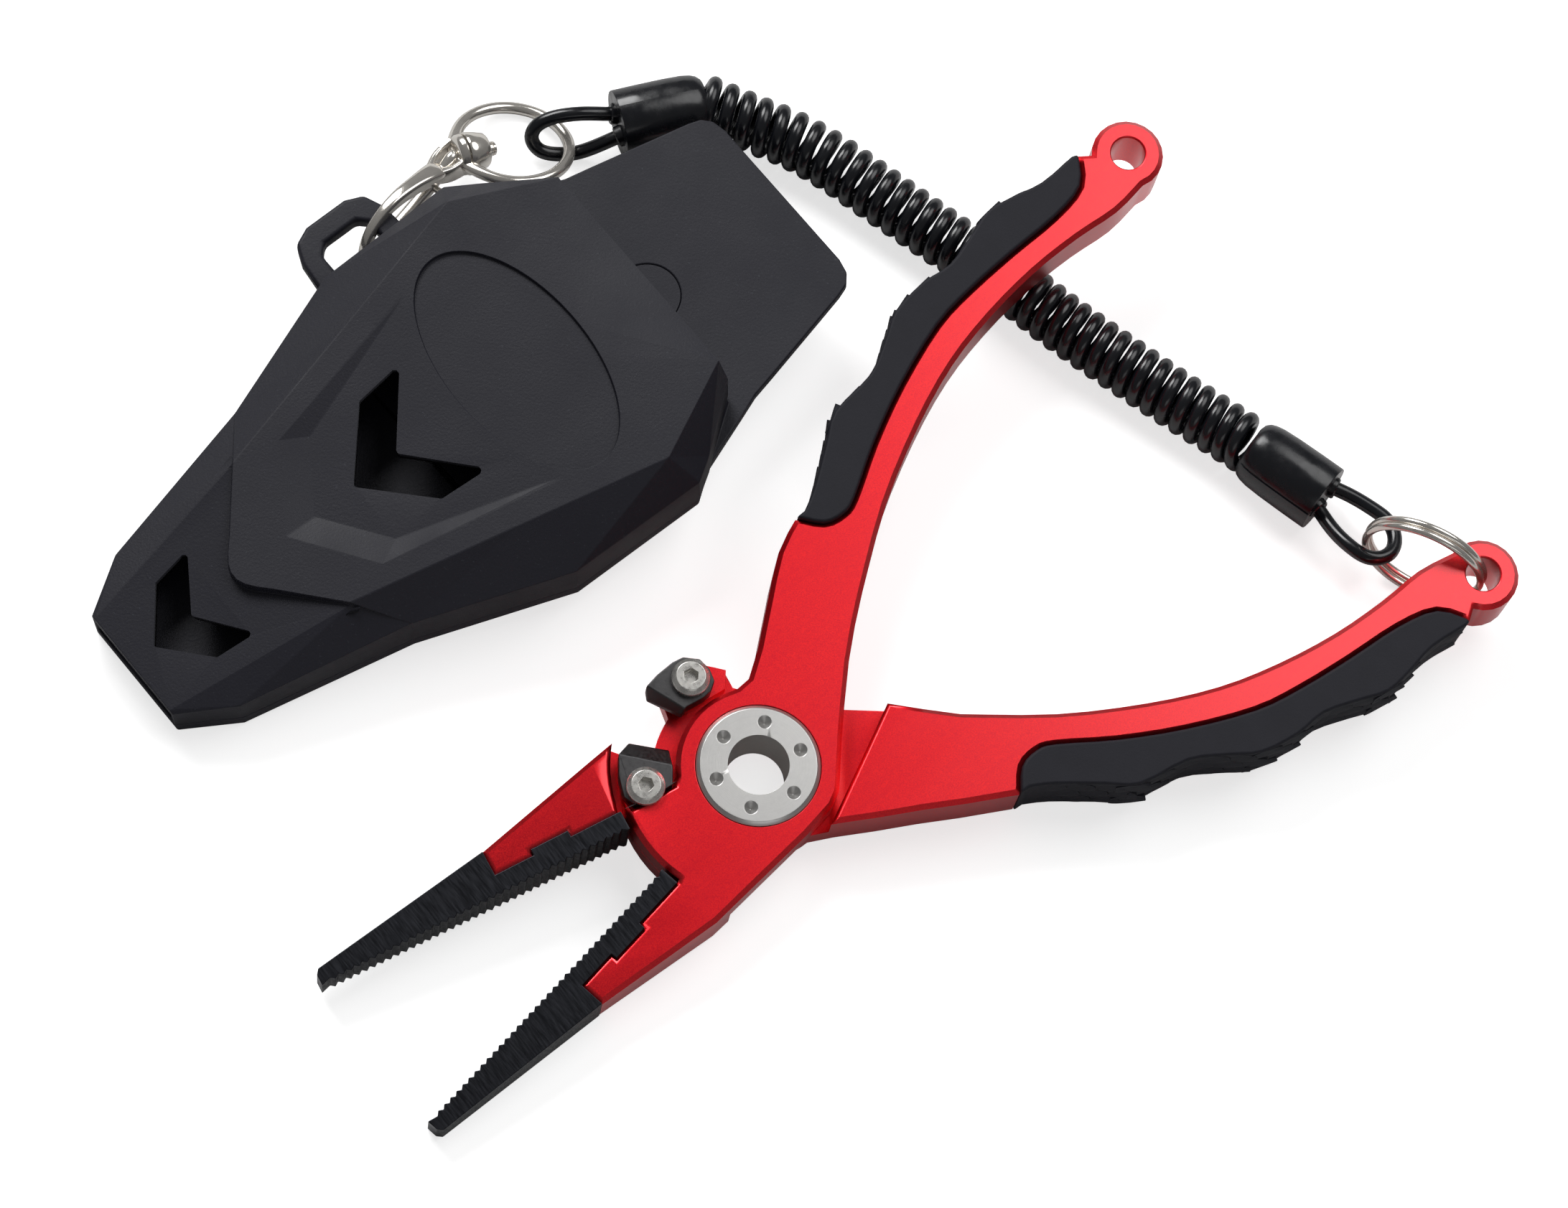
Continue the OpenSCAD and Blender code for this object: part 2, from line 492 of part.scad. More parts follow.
module belt_clip() color("darkslategray") sheath_place() translate(clip_pivot) difference() {
    union() {
        translate([0, 0, -2.3]) cylinder(r = 9, h = 2);
        translate([0, 0, -4.3]) cylinder(r = 9, h = 2.2);
        rotate([90, 0, 0]) linear_extrude(18, center = true)
            polygon([[0, -4.3], [-5, -4.3], [-24, -5.4], [-31, -5.7], [-37, -4.4], [-37, -2.6],
                     [-31, -3.6], [-24, -3.4], [0, -2.3]]);
    }
    translate([0, 0, -9]) cylinder(r = 2.56, h = 12);
}

lever_a();
lever_b();
grip_a();
grip_b();
jaw_insert_a();
jaw_insert_b();
pivot_bolt();
pivot_nut();
thrust_washer();
return_spring();
cutter_a();
cutter_b();
cutter_screw_a();
cutter_screw_b();
split_ring();
cord_loop_right();
ferrule_right();
coil_cord();
ferrule_left();
cord_loop_left();
swivel_ring();
swivel_post();
clasp_body();
clasp_gate();
gate_pin();
gate_spring();
sheath_front();
sheath_back();
shell_screws();
clip_rivet();
belt_clip();
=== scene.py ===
"""Fishing pliers with a coiled lanyard, a swivel clasp and a belt sheath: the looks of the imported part."""

import json
import math

import bmesh
import bpy
from mathutils import Matrix, Vector
from mathutils.geometry import delaunay_2d_cdt

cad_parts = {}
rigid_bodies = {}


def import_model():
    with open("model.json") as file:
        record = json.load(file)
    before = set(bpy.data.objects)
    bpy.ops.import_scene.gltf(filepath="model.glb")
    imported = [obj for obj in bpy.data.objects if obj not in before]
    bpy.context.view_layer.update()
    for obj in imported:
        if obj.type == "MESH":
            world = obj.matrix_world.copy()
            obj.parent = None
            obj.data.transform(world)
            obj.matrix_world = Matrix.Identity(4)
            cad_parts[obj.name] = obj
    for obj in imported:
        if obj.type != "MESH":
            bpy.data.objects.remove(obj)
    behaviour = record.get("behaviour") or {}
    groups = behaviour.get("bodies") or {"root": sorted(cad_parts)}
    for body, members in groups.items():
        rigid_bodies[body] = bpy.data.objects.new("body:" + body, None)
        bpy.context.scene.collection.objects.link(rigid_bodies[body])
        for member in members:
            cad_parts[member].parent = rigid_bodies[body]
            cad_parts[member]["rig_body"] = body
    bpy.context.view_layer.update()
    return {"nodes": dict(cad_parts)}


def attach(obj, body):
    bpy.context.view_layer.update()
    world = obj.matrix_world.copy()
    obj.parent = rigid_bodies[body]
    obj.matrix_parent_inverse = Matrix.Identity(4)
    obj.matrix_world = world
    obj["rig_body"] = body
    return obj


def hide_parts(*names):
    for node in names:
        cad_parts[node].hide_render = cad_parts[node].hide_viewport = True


MM = 0.001
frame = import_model()
scene = bpy.context.scene
scene.view_settings.view_transform = "Standard"


# ---- frames: the same turns and places as the CAD part, in millimetres ----
def shift(x, y, z=0.0):
    return Matrix.Translation((x, y, z))


def turn(degrees, axis="Z"):
    return Matrix.Rotation(math.radians(degrees), 4, axis)


TABLE_Z = -7.46     # the table top below the pivot's middle
PLIERS = turn(49.8) @ turn(-3.15, "Y") @ turn(4.1, "X")
LEVER_A = PLIERS @ turn(10.1)
LEVER_B = PLIERS @ turn(-10.1) @ Matrix.Scale(-1, 4, (0, 1, 0))
ON_TABLE = shift(0, 0, TABLE_Z)
CLASP = ON_TABLE @ shift(-58, 96.4, 4.6) @ turn(-23, "X") @ turn(215)
HOOK = CLASP @ shift(11.1, 0.5) @ turn(24)
SHEATH = ON_TABLE @ shift(-94, -3.2) @ turn(50.55) @ turn(-5.3, "Y")

# ---- camera ----
camera_data = bpy.data.cameras.new("camera")
camera = bpy.data.objects.new("camera", camera_data)
scene.collection.objects.link(camera)
camera_data.sensor_width = 36
camera_data.lens = 121.756
camera_data.clip_start, camera_data.clip_end = 0.05, 20
camera.matrix_world = shift(-0.001208, -0.288177, 0.738915) @ turn(23.1689, "X") @ turn(12.05006)
scene.camera = camera


# ---- materials ----
class Shader:
    """A node material: node() adds a node, link() joins sockets, feed() links into the surface shader."""

    def __init__(self, name):
        self.material = bpy.data.materials.new(name)
        self.material.use_nodes = True
        self.tree = self.material.node_tree
        self.bsdf = self.tree.nodes["Principled BSDF"]
        self.out = self.tree.nodes["Material Output"]
        self.coords = self.tree.nodes.new("ShaderNodeTexCoord").outputs["Object"]

    def node(self, kind, **values):
        made = self.tree.nodes.new("ShaderNode" + kind)
        for key, value in values.items():
            if key in made.inputs:
                made.inputs[key].default_value = value
            else:
                setattr(made, key, value)
        return made

    def link(self, a, b):
        self.tree.links.new(a, b)

    def feed(self, socket, value):
        self.link(value, self.bsdf.inputs[socket])

    def set(self, **values):
        for key, value in values.items():
            self.bsdf.inputs[key.replace("_", " ")].default_value = value

    def noise(self, scale, detail=2.0, vector=None):
        made = self.node("TexNoise", Scale=scale, Detail=detail)
        self.link(vector or self.coords, made.inputs["Vector"])
        return made.outputs["Fac"]

    def ramp(self, value, stops):
        made = self.node("ValToRGB")
        self.link(value, made.inputs["Fac"])
        ramp = made.color_ramp
        while len(ramp.elements) < len(stops):
            ramp.elements.new(0.5)
        for element, (at, colour) in zip(ramp.elements, stops):
            element.position = at
            element.color = (*colour, 1) if isinstance(colour, tuple) else (colour,) * 3 + (1,)
        return made.outputs["Color"]

    def bump(self, height, strength, distance):
        made = self.node("Bump", Strength=strength, Distance=distance)
        self.link(height, made.inputs["Height"])
        return made.outputs["Normal"]

    def local(self, place, scale):
        """Object coordinates in mm in the frame of place, then scaled along its axes."""
        back = place.inverted()
        to_mm = (1 / MM,) * 3
        turned = self.node("Mapping", Scale=to_mm, Rotation=back.to_euler(), Location=back.translation)
        self.link(self.coords, turned.inputs["Vector"])
        made = self.node("Mapping", Scale=scale)
        self.link(turned.outputs["Vector"], made.inputs["Vector"])
        return made.outputs["Vector"]


def mix(sh, factor, a, b):
    made = sh.node("Mix", data_type="RGBA")
    sh.link(factor, made.inputs[0])
    for socket, value in ((made.inputs[6], a), (made.inputs[7], b)):
        if isinstance(value, tuple):
            socket.default_value = (*value, 1)
        else:
            sh.link(value, socket)
    return made.outputs[2]


def red_alloy():
    sh = Shader("red_anodised")
    grain = sh.noise(5600, 3)
    cloud = sh.noise(60, 2)
    streaks = sh.noise(1.0, 2, sh.local(PLIERS, (0.06, 2.2, 0.5)))
    light = mix(sh, cloud, (0.90, 0.012, 0.019), (0.97, 0.017, 0.022))
    colour = mix(sh, sh.ramp(grain, [(0.36, 0.0), (0.62, 1.0)]), (0.78, 0.006, 0.020), light)
    streaked = mix(sh, sh.ramp(streaks, [(0.45, 0.0), (0.75, 0.35)]), colour, (0.78, 0.006, 0.022))
    sh.feed("Base Color", streaked)
    sh.set(Metallic=1.0, Coat_Weight=1.0, Coat_Roughness=0.2, Coat_IOR=1.5)
    sh.feed("Roughness", sh.ramp(grain, [(0.3, 0.36), (0.7, 0.46)]))
    sh.feed("Normal", sh.bump(grain, 0.16, 0.00003))
    return sh.material


def rubber():
    sh = Shader("grip_rubber")
    tone = mix(sh, sh.noise(260, 4), (0.009, 0.009, 0.0145), (0.014, 0.014, 0.0215))
    sh.feed("Base Color", tone)
    sh.set(Roughness=0.66, Specular_IOR_Level=0.35)
    sh.feed("Normal", sh.bump(sh.noise(2600, 4), 0.35, 0.00006))
    return sh.material


def plastic():
    """Moulded plastic with a fine spark-eroded texture and a few scuffs."""
    sh = Shader("sheath_plastic")
    tone = mix(sh, sh.noise(45, 4), (0.0105, 0.0105, 0.0175), (0.0155, 0.0155, 0.024))
    specks = sh.ramp(sh.noise(2400, 2), [(0.66, 0.0), (0.78, 0.5)])
    sh.feed("Base Color", mix(sh, specks, tone, (0.05, 0.055, 0.068)))
    sh.set(Specular_IOR_Level=0.36)
    sh.feed("Roughness", sh.ramp(sh.noise(80, 5), [(0.3, 0.50), (0.7, 0.62)]))
    sh.feed("Normal", sh.bump(sh.noise(2600, 5), 0.45, 0.00008))
    return sh.material


def gloss_black(name, rough=0.2, wave=0.25):
    sh = Shader(name)
    tone = mix(sh, sh.noise(300, 3), (0.0035, 0.004, 0.006), (0.008, 0.009, 0.012))
    sh.feed("Base Color", tone)
    sh.feed("Roughness", sh.ramp(sh.noise(500, 4), [(0.3, rough - 0.05), (0.75, rough + 0.12)]))
    sh.set(Specular_IOR_Level=0.6)
    sh.feed("Normal", sh.bump(sh.noise(260, 3), wave, 0.00012))
    return sh.material


def metal(name, colour, rough, frame_of=None, scale=(0.4, 0.4, 0.4), strength=0.2, detail=2.0, dark=0.82,
          metallic=1.0):
    """Metal whose grain runs the way scale, in cycles per mm, is small."""
    sh = Shader(name)
    grain = sh.noise(1.0, detail, sh.local(frame_of or Matrix(), scale))
    sh.feed("Base Color", mix(sh, grain, tuple(c * dark for c in colour), colour))
    sh.set(Metallic=metallic)
    sh.feed("Roughness", sh.ramp(grain, [(0.3, rough * 0.8), (0.7, rough * 1.25)]))
    sh.feed("Normal", sh.bump(grain, strength, 0.00003))
    return sh.material


def turned_steel(name, centre, colour, rough):
    """Steel with fine rings from the lathe round the Z axis of centre."""
    sh = Shader(name)
    place = sh.local(centre, (1, 1, 0))
    length = sh.node("VectorMath", operation="LENGTH")
    sh.link(place, length.inputs[0])
    around = sh.node("CombineXYZ")
    sh.link(length.outputs["Value"], around.inputs[0])
    ring = sh.noise(9.0, 3, around.outputs[0])
    spots = sh.noise(1.0, 3, sh.local(centre, (1.4, 1.4, 1.4)))
    dark = tuple(c * 0.8 for c in colour)
    tone = mix(sh, ring, dark, colour)
    sh.feed("Base Color", mix(sh, sh.ramp(spots, [(0.35, 0.0), (0.8, 0.45)]), tone, dark))
    sh.set(Metallic=1.0)
    sh.feed("Roughness", sh.ramp(ring, [(0.3, rough * 0.85), (0.7, rough * 1.2)]))
    sh.feed("Normal", sh.bump(ring, 0.5, 0.00002))
    return sh.material


RED = red_alloy()
# Dark red on the walls of the levers' lanyard holes: painted shade inside the holes.
RED_BORE_PAINTED_SHADE = metal("red_bore_painted_shade", (0.20, 0.002, 0.006), 0.3, PLIERS, (1.5, 1.5, 4.0), 0.4)
RUBBER = rubber()
PLASTIC = plastic()
CORD = gloss_black("cord_black", 0.2)
FERRULE = gloss_black("ferrule_black", 0.22, 0.4)
# Matt grey on the black ferrules' end faces: a painted reflection of the lights on the glossy end face.
END_FACE_PAINTED_REFLECTION = metal("ferrule_end_face_painted_reflection", (0.22, 0.225, 0.235), 0.35, metallic=0.0)
NICKEL = metal("nickel", (0.86, 0.82, 0.76), 0.15, dark=0.85, metallic=0.8)
STEEL = turned_steel("turned_steel", PLIERS, (0.83, 0.82, 0.80), 0.34)
# Darker steel on the pivot bolt's bore wall: painted shade inside the bore.
BORE_PAINTED_SHADE = metal("bore_steel_painted_shade", (0.30, 0.29, 0.28), 0.4, PLIERS, (0.3, 0.3, 5.0), 0.4)
BOLT_STEEL = metal("screw_steel", (0.82, 0.80, 0.76), 0.28, PLIERS, (1.2, 1.2, 1.2), 0.04, dark=0.8,
                   metallic=0.85)
DARK = metal("cutter_steel", (0.10, 0.098, 0.10), 0.45, PLIERS, (2, 2, 2), 0.5)
JAW = metal("jaw_black", (0.048, 0.050, 0.058), 0.36, PLIERS, (3.5, 0.35, 1.0), 0.5, dark=0.6)
BRASS = metal("washer_brass", (0.7, 0.5, 0.2), 0.35)


# ---- meshes ----
def link_mesh(name, mesh, material, body, replaced=()):
    made = bpy.data.objects.new(name, mesh)
    scene.collection.objects.link(made)
    mesh.materials.clear()
    for m in material if isinstance(material, (list, tuple)) else [material]:
        mesh.materials.append(m)
    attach(made, body)
    if replaced:
        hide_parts(*replaced)
    return made


def smooth_by_angle(mesh, degrees):
    mesh.polygons.foreach_set("use_smooth", [True] * len(mesh.polygons))
    mesh.set_sharp_from_angle(angle=math.radians(degrees))


def body_of(node):
    return frame["nodes"][node]["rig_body"]


def finish_mesh(bm, name, material, body, replaced, width, segments=2, smooth=38):
    """Makes the piece; edges keep their bevel weight, which is a share of width mm."""
    mesh = bpy.data.meshes.new(name)
    bm.to_mesh(mesh)
    bm.free()
    smooth_by_angle(mesh, smooth)
    made = link_mesh(name, mesh, material, body, replaced)
    if width:
        bevel = made.modifiers.new("bevel", "BEVEL")
        bevel.limit_method = "WEIGHT"
        bevel.width = width * MM
        bevel.segments = segments
        bevel.miter_outer = "MITER_ARC"
        bevel.use_clamp_overlap = True
        bevel.loop_slide = True
    return made


def finish_parts(bm, name, place, material, body, replaced, smooth=40):
    """Makes the piece of a bmesh that is in mm in the frame of place."""
    bmesh.ops.recalc_face_normals(bm, faces=bm.faces)
    bm.transform(Matrix.Scale(MM, 4) @ place)
    mesh = bpy.data.meshes.new(name)
    bm.to_mesh(mesh)
    bm.free()
    smooth_by_angle(mesh, smooth)
    return link_mesh(name, mesh, material, body, replaced)


def weighted(made):
    flat = made.modifiers.new("flat_faces", "WEIGHTED_NORMAL")
    flat.keep_sharp = True
    flat.weight = 80
    return made


CHAMFER = 0.7       # edges this wide or wider are cut flat, narrower ones are rounded


def machined(node, name, widths, material, sharp=28, segments=2, join=0.004, bore=None):
    """The CAD node's own shape with its sharp edges rounded.

    widths is one width in mm, or gives it from an edge's middle, its direction and whether it is convex.
    Points nearer than join mm are made one. The wall of bore, a (frame, radius) pair, takes the second
    material.
    """
    bm = bmesh.new()
    bm.from_mesh(frame["nodes"][node].data)
    bmesh.ops.remove_doubles(bm, verts=bm.verts, dist=0.004 * MM)
    bmesh.ops.dissolve_limit(bm, angle_limit=math.radians(0.1), verts=bm.verts, edges=bm.edges)
    bmesh.ops.remove_doubles(bm, verts=bm.verts, dist=join * MM)
    bmesh.ops.dissolve_degenerate(bm, dist=join * MM, edges=bm.edges)
    groups = {}
    for e in bm.edges:
        if len(e.link_faces) == 2 and e.calc_face_angle() > math.radians(sharp):
            a, b = e.verts[0].co / MM, e.verts[1].co / MM
            width = widths((a + b) / 2, (b - a).normalized(), e.is_convex) if callable(widths) else widths
            groups.setdefault(width, []).append(e)
    for width in sorted(groups, reverse=True):
        edges = [e for e in groups[width] if e.is_valid]
        if width and edges:
            bmesh.ops.bevel(
                bm, geom=edges, offset=width * MM, offset_type="OFFSET", profile=0.5, affect="EDGES",
                segments=1 if width >= CHAMFER else segments, clamp_overlap=False, miter_outer="SHARP",
            )
    if bore:
        about = bore[0].inverted()
        for f in bm.faces:
            c, n = about @ (f.calc_center_median() / MM), about.to_3x3() @ f.normal
            if math.hypot(c.x, c.y) < bore[1] and abs(n.z) < 0.3:
                f.material_index = 1
    return weighted(finish_mesh(bm, name, material, body_of(node), [node], 0))


# ---- lanyard ----
CORD_D = 2.3
COIL_D = 9.6
COIL_Z = COIL_D / 2


def between(a, b, c, d, t):
    """The share t of the way from b to c on a smooth curve that also passes a and d (Catmull-Rom)."""
    return (2 * b + t * (c - a) + t**2 * (2 * a - 5 * b + 4 * c - d) + t**3 * (3 * b - a - 3 * c + d)) / 2


def spline(points, steps):
    """A smooth curve through the points, steps to a span."""
    p = [Vector(q) for q in points]
    out = []
    for i in range(len(p) - 1):
        a, b, c, d = p[max(i - 1, 0)], p[i], p[i + 1], p[min(i + 2, len(p) - 1)]
        out += [between(a, b, c, d, k / steps) for k in range(steps)]
    return out + [p[-1]]


def even(points, count):
    """count + 1 points at equal steps along the line through the points, with the total length."""
    lengths = [0.0]
    for a, b in zip(points, points[1:]):
        lengths.append(lengths[-1] + (b - a).length)
    out, j = [], 0
    for i in range(count + 1):
        want = lengths[-1] * i / count
        while j < len(points) - 2 and lengths[j + 1] < want:
            j += 1
        share = (want - lengths[j]) / max(lengths[j + 1] - lengths[j], 1e-9)
        out.append(points[j].lerp(points[j + 1], share))
    return out, lengths[-1]


COIL_ROUTE = [
    (64.6, 71.2, COIL_Z + 0.8), (60, 73.5, COIL_Z), (52, 76.8, COIL_Z), (42, 81.2, COIL_Z),
    (32, 85.9, COIL_Z), (22, 91.2, COIL_Z), (10, 96.6, COIL_Z), (0, 101.2, COIL_Z), (-8, 104.9, COIL_Z),
    (-15, 107.4, COIL_Z), (-22, 108.6, COIL_Z + 0.4), (-30, 110, COIL_Z + 0.9),
]
RIGHT_LOOP = [
    (73.5, 69.0, 5.6), (77.2, 67.6, 5.6), (81, 66.6, 5.6), (84.4, 65.2, 5.8), (87.2, 63.6, 6),
    (88.7, 61, 6.4), (88.6, 58.2, 7), (86.9, 56.3, 7.6), (84.3, 55.9, 8), (81, 57.9, 7.4),
    (78.6, 60.5, 6.2), (76.2, 63.4, 5.6), (73.5, 65.4, 5.6),
]
LEFT_LOOP = [
    (-39.5, 103.4, 5.6), (-42.2, 101.5, 4.8), (-47, 99.3, 2), (-50.4, 98.2, 1.35), (-53.6, 97.6, 2.1),
    (-55.4, 98.6, 3.6), (-55, 100.2, 5.2), (-52.6, 101.8, 6.2), (-48.4, 103.4, 6.4), (-43.3, 105, 5.6),
    (-40.5, 106.4, 5.6),
]
TURNS = 38
PER_TURN = 16
ROUTE_STEPS = 400
LEFT_SPREAD = 0.03      # how much wider apart the turns lie towards the left ferrule
FIRST_TURN_AT = 200     # degrees round the route at which the coil starts


def helix():
    """Right-handed turns along the route; they lie wider apart near the left ferrule."""
    route, _ = even(spline(COIL_ROUTE, 6), ROUTE_STEPS)
    radius = (COIL_D - CORD_D) / 2
    pad = (2 + math.cos(2 * math.pi / PER_TURN)) / 3   # a cubic curve runs this far inside its points
    out = []
    total = TURNS * PER_TURN
    for i in range(total + 1):
        share = i / total
        s = share - LEFT_SPREAD * math.sin(math.pi * share) * share
        x = s * ROUTE_STEPS
        j = min(int(x), ROUTE_STEPS - 1)
        at = route[j].lerp(route[j + 1], x - j)
        along = (route[min(j + 4, ROUTE_STEPS)] - route[max(j - 4, 0)]).normalized()
        side = Vector((0, 0, 1)).cross(along).normalized()
        lift = along.cross(side)
        a = 2 * math.pi * i / PER_TURN + math.radians(FIRST_TURN_AT)
        out.append(at + (side * math.cos(a) + lift * math.sin(a)) * radius / pad)
    return out


def cord_piece(name, points, diameter, material, body):
    """A round cord whose middle is a smooth curve along the points, given in mm."""
    data = bpy.data.curves.new(name, "CURVE")
    data.dimensions = "3D"
    data.bevel_depth = diameter / 2 * MM
    data.bevel_resolution = 5
    data.use_fill_caps = True
    line = data.splines.new("NURBS")
    line.points.add(len(points) - 1)
    for p, q in zip(line.points, points):
        p.co = (q[0] * MM, q[1] * MM, q[2] * MM, 1)
    line.order_u = 4
    line.use_endpoint_u = True
    data.resolution_u = line.resolution_u = 2
    data.materials.append(material)
    made = bpy.data.objects.new(name, data)
    scene.collection.objects.link(made)
    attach(made, body)
    return made


def on_table(p):
    return ON_TABLE @ Vector(p)


def bridge(p, p_next, q, q_next, count):
    """Points on a smooth curve from p to q that leaves and arrives along the given neighbours."""
    reach = (q - p).length
    m, n = (p_next - p).normalized() * reach, (q_next - q).normalized() * reach
    out = []
    for k in range(1, count):
        t = k / count
        out.append((2 * t**3 - 3 * t * t + 1) * p + (t**3 - 2 * t * t + t) * m
                   + (3 * t * t - 2 * t**3) * q + (t**3 - t * t) * n)
    return out


right_loop = spline(RIGHT_LOOP, 3)
left_loop = spline(LEFT_LOOP, 3)
turns = helix()
turned_in = bridge(right_loop[-1], 2 * right_loop[-1] - right_loop[-2], turns[0], turns[1], 10)
turned_out = bridge(turns[-1], 2 * turns[-1] - turns[-2], left_loop[0], left_loop[1], 10)
cord_line = [on_table(p) for p in right_loop + turned_in + turns + turned_out + left_loop]
cord = cord_piece("lanyard_cord", cord_line, CORD_D, CORD, "handle_b")
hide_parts("coil_cord", "cord_loop_right", "cord_loop_left")


def circle(steps):
    """(cosine, sine) of equal steps round a circle."""
    angles = [2 * math.pi * k / steps for k in range(steps)]
    return [(math.cos(a), math.sin(a)) for a in angles]


def skin(bm, rings, caps=True, closed=False):
    """Joins rings of equal counts of points with faces; caps returns the end faces, the first one first."""
    n = len(rings[0])
    for r0, r1 in list(zip(rings, rings[1:])) + ([(rings[-1], rings[0])] if closed else []):
        for k in range(n):
            bm.faces.new((r0[k], r0[(k + 1) % n], r1[(k + 1) % n], r1[k]))
    return (bm.faces.new(list(reversed(rings[0]))), bm.faces.new(rings[-1])) if caps else None


FERRULE_Z = 5.6
FERRULE_R = 5.4
LIP = 0.22          # one half of a sleeve stands out by this much along the mould line
SLEEVE_STEPS = 96
SLEEVE = [          # share of the length from the cord end, share of the radius
    (0.0, 0.985), (0.012, 1.0), (0.3, 1.0), (0.6, 0.99), (0.8, 0.965), (0.9, 0.92), (0.96, 0.86), (1.0, 0.76),
]
COLLAR = ((-0.6, 1.75), (0.55, 1.7), (0.75, 1.5), (0.75, 1.0))     # along the cord from the end face, radius
TO_CAMERA = Vector((0, -0.393, 0.919))


def cord_crossings(p, d):
    """Where the cord's line passes the end face through p with the outward normal d."""
    found = []
    line = right_loop + left_loop
    for a, b in zip(line, line[1:]):
        s, t = (a - p).dot(d), (b - p).dot(d)
        if s * t < 0 and (a - p).length < 8:
            found.append((a.lerp(b, s / (s - t)), (b - a).normalized() * (1 if t > s else -1)))
    return found


def sleeve(name, p, q, part_angle):
    """A moulded sleeve from its cord end p to its coil end q; part_angle says where its mould line runs."""
    p, q = Vector(p), Vector(q)
    axis = (q - p).normalized()
    up = (TO_CAMERA - axis * TO_CAMERA.dot(axis)).normalized()
    side = axis.cross(up)
    length = (q - p).length
    angles = []
    for k in range(SLEEVE_STEPS + 1):
        a = math.radians(part_angle + 360 * k / SLEEVE_STEPS)
        angles += [(a, LIP), (a, 0)] if k == SLEEVE_STEPS // 2 else [(a, LIP if k < SLEEVE_STEPS // 2 else 0)]
    bm = bmesh.new()
    rings = []
    for share, r in SLEEVE:
        rings.append([bm.verts.new(p + axis * share * length + (up * math.cos(a) + side * math.sin(a))
                                   * (FERRULE_R + more) * r) for a, more in angles])
    end_face, _ = skin(bm, rings)
    # The end face takes the second material, the grey of painted reflection.
    end_face.material_index = 1
    for at, d in cord_crossings(p, -axis):
        over = d.orthogonal().normalized()
        beside = d.cross(over)
        loops = []
        for along, r in COLLAR:
            loops.append([bm.verts.new(at + d * along + (over * x + beside * y) * r) for x, y in circle(24)])
        skin(bm, loops)
    bmesh.ops.remove_doubles(bm, verts=bm.verts, dist=0.0005)
    finish_parts(bm, name, ON_TABLE, [FERRULE, END_FACE_PAINTED_REFLECTION], "handle_b", [name.replace("_sleeve", "")], 32)


sleeve("ferrule_right_sleeve", (77, 65.2, FERRULE_Z), (64.6, 71.2, FERRULE_Z), 136)
sleeve("ferrule_left_sleeve", (-42.6, 103.3, FERRULE_Z), (-30, 110, FERRULE_Z), -23)


# ---- levers, grips and jaws ----
HOLE_AT = (113, 23.4)       # lanyard hole in a lever's own frame
HOLE_R = 3.2                # a little more than the hole, to find its edges and wall
FLANGE_R = 10
HUB_LEVEL = 3.2             # edges nearer to the levers' middle plane than this belong to the hub steps


def lever_widths(place):
    """Chamfers on the long edges of a lever, small rounds at its lanyard hole and round the hub."""
    flat = place.inverted()

    def widths(p, along, convex):
        q, d = flat @ p, flat.to_3x3() @ along
        if not convex or abs(d.z) > 0.3:
            return 0
        if math.hypot(q.x, q.y) < FLANGE_R or abs(q.z) < HUB_LEVEL:
            return 0.1
        return 0.3 if math.hypot(q.x - HOLE_AT[0], q.y - HOLE_AT[1]) < HOLE_R else 0.75

    return widths


# Each lever's lanyard hole wall takes the second material, the dark red of painted shade.
for side, place in (("a", LEVER_A), ("b", LEVER_B)):
    machined("lever_" + side, "lever_" + side + "_body", lever_widths(place), [RED, RED_BORE_PAINTED_SHADE],
             join=0.36, bore=(place @ shift(*HOLE_AT), HOLE_R))
    machined("grip_" + side, "grip_" + side + "_cover", 0.5, RUBBER, segments=3)
    machined("jaw_insert_" + side, "jaw_" + side + "_tip", 0.12, JAW)
    machined("cutter_" + side, "cutter_" + side + "_blade", 0.2, DARK)
    machined("cutter_screw_" + side, "cutter_screw_" + side + "_head", 0.06, BOLT_STEEL)
# The bore wall takes the second material, the darker steel of painted shade.
machined("pivot_bolt", "pivot_flange", 0.05, [STEEL, BORE_PAINTED_SHADE], bore=(PLIERS, 5.2))


# ---- clasp and rings ----
def section(c, side, up, w, h, square, count=16):
    """A rounded rectangle of half sizes w, h round c; square is 1 for an ellipse, less for squarer."""
    out = []
    for k in range(count):
        a = 2 * math.pi * (k + 0.5) / count
        x, y = math.cos(a), math.sin(a)
        x, y = math.copysign(abs(x) ** square, x), math.copysign(abs(y) ** square, y)
        out.append(c + side * w * x + up * h * y)
    return out


def add_loft(bm, path, square=0.72):
    """Adds a closed body through (x, y, z, half width, half height); its width runs along Y."""
    across = Vector((0, 1, 0))
    points = [Vector(p[:3]) for p in path]
    rings = []
    for i, c in enumerate(points):
        t = (points[min(i + 1, len(points) - 1)] - points[max(i - 1, 0)]).normalized()
        side = (across - t * across.dot(t)).normalized()
        ring = section(c, side, t.cross(side), path[i][3], path[i][4], square)
        rings.append([bm.verts.new(p) for p in ring])
    skin(bm, rings)


def rounded_path(path, steps=4):
    """A smooth path through rows of numbers, steps to a span."""
    rows = []
    for i in range(len(path) - 1):
        a, b = path[max(i - 1, 0)], path[i]
        c, d = path[i + 1], path[min(i + 2, len(path) - 1)]
        for k in range(steps):
            rows.append(tuple(between(*four, k / steps) for four in zip(a, b, c, d)))
    return rows + [path[-1]]


def add_turned(bm, outline, steps=48):
    """Adds a body turned round the X axis from (x, radius) pairs, closed at both ends."""
    skin(bm, [[bm.verts.new((x, r * a, r * b)) for a, b in circle(steps)] for x, r in outline])


